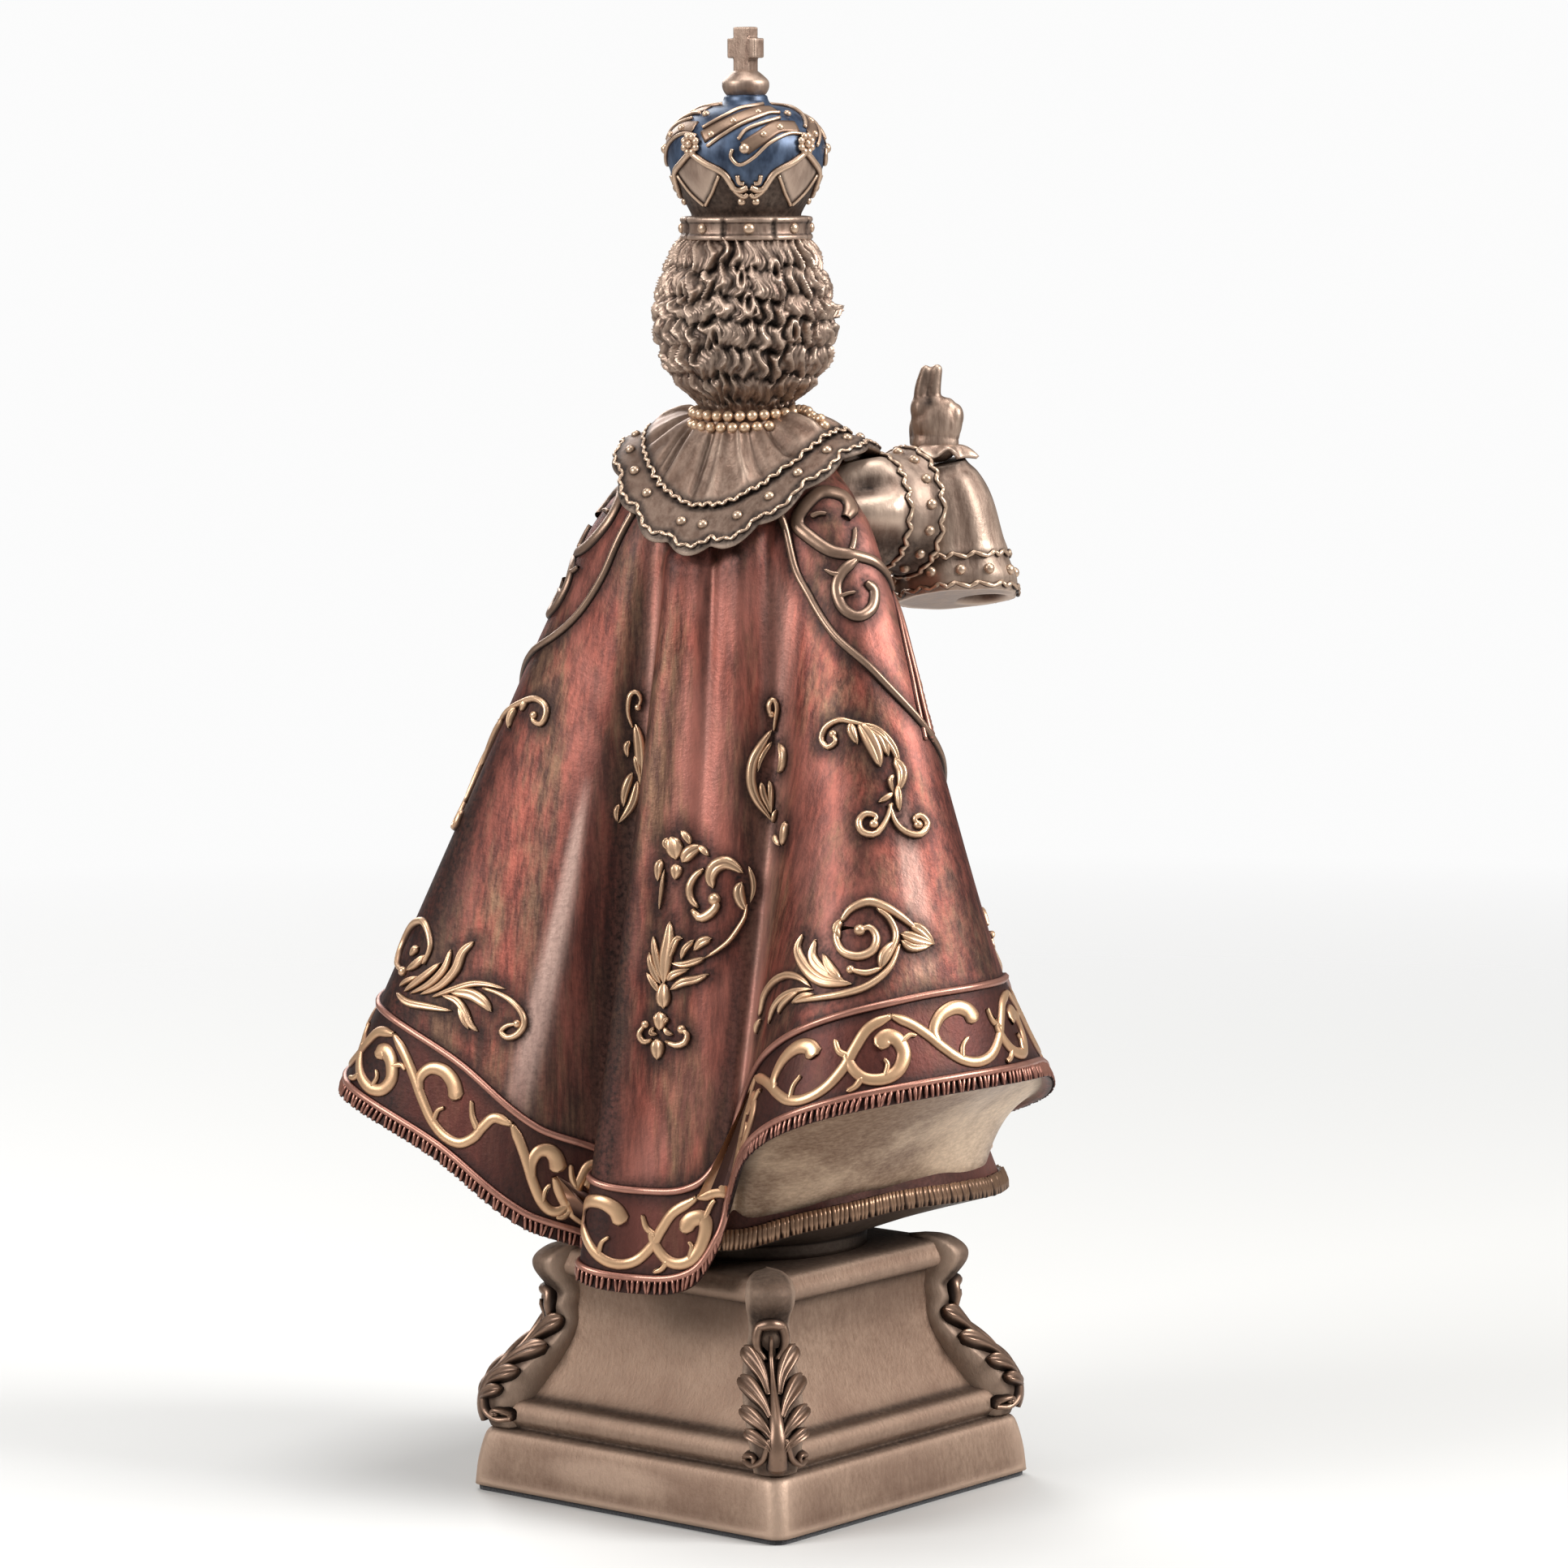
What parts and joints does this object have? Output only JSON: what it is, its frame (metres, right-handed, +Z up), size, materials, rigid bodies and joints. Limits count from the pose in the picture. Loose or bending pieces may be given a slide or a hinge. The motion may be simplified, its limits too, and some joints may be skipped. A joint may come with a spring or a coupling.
{
  "type": "infant of prague statue",
  "caption": "Crowned child in a wide embroidered cape, right hand raised in blessing, standing on a square waisted plinth with leaf consoles at its corners.",
  "frame": {"origin": "centre of the felt pad's underside", "axes": "+Z up through the cross on the crown, -Y the way the child's face looks, -X the side of the raised right hand"},
  "size_m": [0.1502, 0.104, 0.3],
  "materials": {
    "bronze_red": "cold-cast bronze with a translucent red wash on the cape, pale gold relief, blue crown and dark patina in the recesses",
    "bronze": "cold-cast bronze, brushed satin, dark patina in the recesses",
    "felt": "thin black felt"
  },
  "bodies": {
    "root": {"figure": "bronze_red", "plinth": "bronze", "felt_pad": "felt"}
  },
  "joints": []
}
